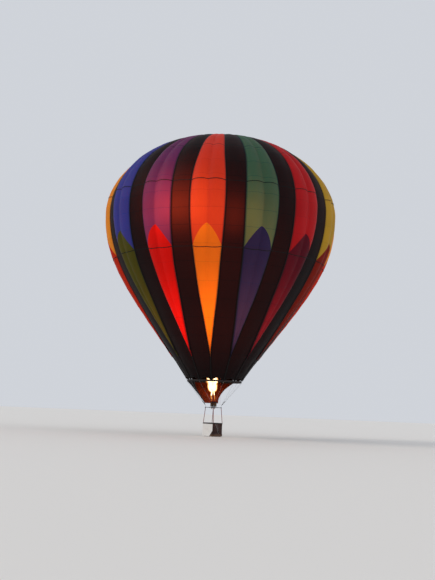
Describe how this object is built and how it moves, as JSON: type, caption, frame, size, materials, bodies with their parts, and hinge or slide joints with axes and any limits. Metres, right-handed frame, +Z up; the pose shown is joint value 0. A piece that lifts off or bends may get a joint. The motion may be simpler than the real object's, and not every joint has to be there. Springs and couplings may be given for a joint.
{
  "type": "hot air balloon",
  "caption": "Hot air balloon with a striped envelope of bulging gores, a parachute valve, a scoop, a twin burner on a gimbal and a wicker basket on padded uprights.",
  "frame": {"origin": "centre of lift: the envelope's axis at its widest level, 17.15 m above the underside of the basket's runners", "axes": "+Z up along the envelope's axis, X and Y along the basket's sides, the banner's side facing -Y"},
  "size_m": [18.453, 18.2834, 23.8774],
  "materials": {
    "fabric_red": "matt coated ripstop",
    "fabric_yellow": "matt coated ripstop",
    "fabric_orange": "matt coated ripstop",
    "fabric_blue": "matt coated ripstop",
    "fabric_magenta": "matt coated ripstop",
    "fabric_vermilion": "matt coated ripstop",
    "fabric_green": "matt coated ripstop",
    "fabric_black": "matt coated ripstop",
    "valve_fabric": "matt coated ripstop",
    "webbing": "woven tape",
    "hem_tape": "folded and stitched tape",
    "scoop_fabric": "flame resistant cloth",
    "frame_steel": "brushed stainless tube",
    "burner_steel": "heat tinted stainless",
    "wire_steel": "stainless wire rope",
    "ash_wood": "oiled",
    "plywood": "varnished plywood",
    "wicker": "woven willow, stained",
    "rawhide": "stitched hide",
    "rim_leather": "padded and laced",
    "banner_cloth": "blank coated cloth",
    "sleeve_fabric": "zipped padded sleeve",
    "tank_cover": "padded cover"
  },
  "bodies": {
    "balloon": {"leaf_panel_01": "fabric_red", "dark_panel_01": "fabric_black", "leaf_panel_02": "fabric_yellow", "dark_panel_02": "fabric_black", "leaf_panel_03": "fabric_orange", "dark_panel_03": "fabric_black", "leaf_panel_04": "fabric_blue", "dark_panel_04": "fabric_black", "leaf_panel_05": "fabric_magenta", "dark_panel_05": "fabric_black", "leaf_panel_06": "fabric_vermilion", "dark_panel_06": "fabric_black", "leaf_panel_07": "fabric_green", "dark_panel_07": "fabric_black", "leaf_panel_08": "fabric_red", "dark_panel_08": "fabric_black", "leaf_panel_09": "fabric_yellow", "dark_panel_09": "fabric_black", "leaf_panel_10": "fabric_orange", "dark_panel_10": "fabric_black", "leaf_panel_11": "fabric_blue", "dark_panel_11": "fabric_black", "leaf_panel_12": "fabric_magenta", "dark_panel_12": "fabric_black", "leaf_panel_13": "fabric_vermilion", "dark_panel_13": "fabric_black", "leaf_panel_14": "fabric_green", "dark_panel_14": "fabric_black", "vent_rim": "webbing", "crown_ring_and_tapes": "webbing", "mouth_hem": "hem_tape", "scoop": "scoop_fabric", "load_frame": "frame_steel", "flying_wires_1": "wire_steel", "flying_wires_2": "wire_steel", "flying_wires_3": "wire_steel", "flying_wires_4": "wire_steel", "runner_left": "ash_wood", "runner_middle": "ash_wood", "runner_right": "ash_wood", "basket_floor": "plywood", "basket_wall": "wicker", "scuff_band": "rawhide", "basket_rim": "rim_leather", "banner": "banner_cloth", "upright_1": "sleeve_fabric", "upright_2": "sleeve_fabric", "upright_3": "sleeve_fabric", "upright_4": "sleeve_fabric", "fuel_tank_1": "tank_cover", "fuel_tank_2": "tank_cover", "fuel_tank_3": "tank_cover"},
    "valve": {"parachute_valve": "valve_fabric"},
    "gimbal": {"gimbal_ring": "frame_steel"},
    "burner": {"burner_unit": "burner_steel"}
  },
  "joints": [
    {"name": "valve_pull", "type": "slide", "parent": "balloon", "child": "valve", "axis": [0, 0, -1], "range_m": [0, 1.2]},
    {"name": "gimbal_swing", "type": "hinge", "parent": "balloon", "child": "gimbal", "pos_m": [0, 0, -14.91], "axis": [1, 0, 0], "range_deg": [-20, 20]},
    {"name": "burner_swing", "type": "hinge", "parent": "gimbal", "child": "burner", "pos_m": [0, 0, -14.91], "axis": [0, 1, 0], "range_deg": [-20, 20]}
  ]
}
